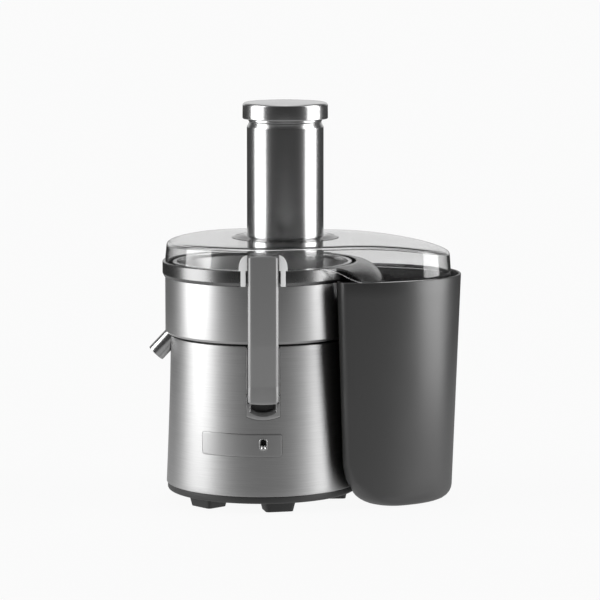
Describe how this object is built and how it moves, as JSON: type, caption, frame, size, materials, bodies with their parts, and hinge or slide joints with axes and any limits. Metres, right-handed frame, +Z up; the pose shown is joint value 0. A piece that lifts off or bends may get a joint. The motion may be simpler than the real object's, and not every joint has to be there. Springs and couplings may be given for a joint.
{
  "type": "centrifugal juicer",
  "caption": "Centrifugal juicer with a steel motor base, a clear lid with a wide feed tube and pusher, a filter basket, swinging latches, a juice spout and a side pulp bin.",
  "frame": {"origin": "on the floor, under the middle of the whole object's box; the body's turning axis is 44.2 mm to -X of it", "axes": "+Z up, +X towards the pulp bin, -Y the front with the switch and the front latch"},
  "size_m": [0.322, 0.218, 0.4126],
  "materials": {
    "brushed_steel": "stainless sheet brushed round the body",
    "polished_steel": "polished stainless steel",
    "dark_chrome": "polished dark metal",
    "satin_metal": "satin grey metal",
    "clear_plastic": "clear moulded plastic, slightly grey",
    "frosted_plastic": "pale translucent moulded plastic",
    "dark_plastic": "dark grey moulded plastic, satin",
    "rubber": "black rubber",
    "carbon": "pressed carbon",
    "iron": "laminated or pressed iron",
    "copper": "enamelled copper winding"
  },
  "bodies": {
    "base": {"base_plate": "dark_plastic", "base_screw_1": "polished_steel", "base_screw_2": "polished_steel", "base_screw_3": "polished_steel", "base_screw_4": "polished_steel", "foot_1": "rubber", "foot_2": "rubber", "foot_3": "rubber", "foot_4": "rubber", "foot_5": "rubber", "motor_housing": "brushed_steel", "top_deck": "dark_plastic", "latch_recess_front": "satin_metal", "latch_recess_rear": "satin_metal", "latch_pin_front": "polished_steel", "latch_pin_rear": "polished_steel", "control_panel": "satin_metal", "toggle_bezel": "polished_steel", "switch_body": "dark_plastic", "cord_inlet": "dark_plastic", "lower_motor_bracket": "iron", "upper_motor_bracket": "iron", "lower_bearing": "polished_steel", "upper_bearing": "polished_steel", "motor_stator": "iron", "lower_field_coil": "copper", "upper_field_coil": "copper", "brush_holder_left": "dark_plastic", "brush_holder_right": "dark_plastic", "carbon_brush_left": "carbon", "carbon_brush_right": "carbon", "motor_tie_rod_1": "polished_steel", "motor_tie_rod_2": "polished_steel", "motor_tie_rod_3": "polished_steel", "motor_tie_rod_4": "polished_steel", "shaft_seal": "rubber"},
    "rotor": {"motor_shaft": "polished_steel", "rotor_core": "iron", "commutator": "copper", "cooling_fan": "dark_plastic", "drive_coupling": "dark_plastic"},
    "front_latch": {"latch_arm_front": "satin_metal"},
    "rear_latch": {"latch_arm_rear": "satin_metal"},
    "toggle": {"toggle_lever": "polished_steel"},
    "collector": {"collector_bowl": "brushed_steel", "collector_band": "dark_chrome", "pulp_lip": "brushed_steel", "juice_spout": "polished_steel"},
    "basket": {"filter_basket": "brushed_steel", "grater_disc": "polished_steel", "basket_hub": "dark_plastic"},
    "lid": {"lid_cover": "clear_plastic", "lid_lug_front": "frosted_plastic", "lid_lug_rear": "frosted_plastic", "feed_tube": "polished_steel", "tube_collar": "clear_plastic"},
    "pusher": {"pusher_body": "dark_plastic", "pusher_cap": "polished_steel"},
    "bin": {"pulp_bin": "dark_plastic"}
  },
  "joints": [
    {"name": "rotor_spin", "type": "hinge", "parent": "base", "child": "rotor", "pos_m": [-0.04416, 0, 0.1], "axis": [0, 0, 1], "continuous": true},
    {"name": "front_latch_swing", "type": "hinge", "parent": "base", "child": "front_latch", "pos_m": [-0.04416, -0.096, 0.121], "axis": [1, 0, 0], "range_deg": [0, 95]},
    {"name": "rear_latch_swing", "type": "hinge", "parent": "base", "child": "rear_latch", "pos_m": [-0.04416, 0.096, 0.121], "axis": [-1, 0, 0], "range_deg": [0, 95]},
    {"name": "toggle_flip", "type": "hinge", "parent": "base", "child": "toggle", "pos_m": [-0.04416, -0.09, 0.0715], "axis": [-1, 0, 0], "range_deg": [0, 29.6]},
    {"name": "collector_lift", "type": "slide", "parent": "base", "child": "collector", "axis": [0, 0, 1], "range_m": [0, 0.1]},
    {"name": "basket_spin", "type": "hinge", "parent": "collector", "child": "basket", "pos_m": [-0.04416, 0, 0.2], "axis": [0, 0, 1], "continuous": true},
    {"name": "lid_lift", "type": "slide", "parent": "collector", "child": "lid", "axis": [0, 0, 1], "range_m": [0, 0.12]},
    {"name": "pusher_slide", "type": "slide", "parent": "lid", "child": "pusher", "axis": [0, 0, 1], "range_m": [0, 0.185]},
    {"name": "bin_slide", "type": "slide", "parent": "base", "child": "bin", "axis": [1, 0, 0], "range_m": [0, 0.15]}
  ],
  "couplings": [
    {"joint": "basket_spin", "follows": "rotor_spin", "ratio": 1}
  ]
}
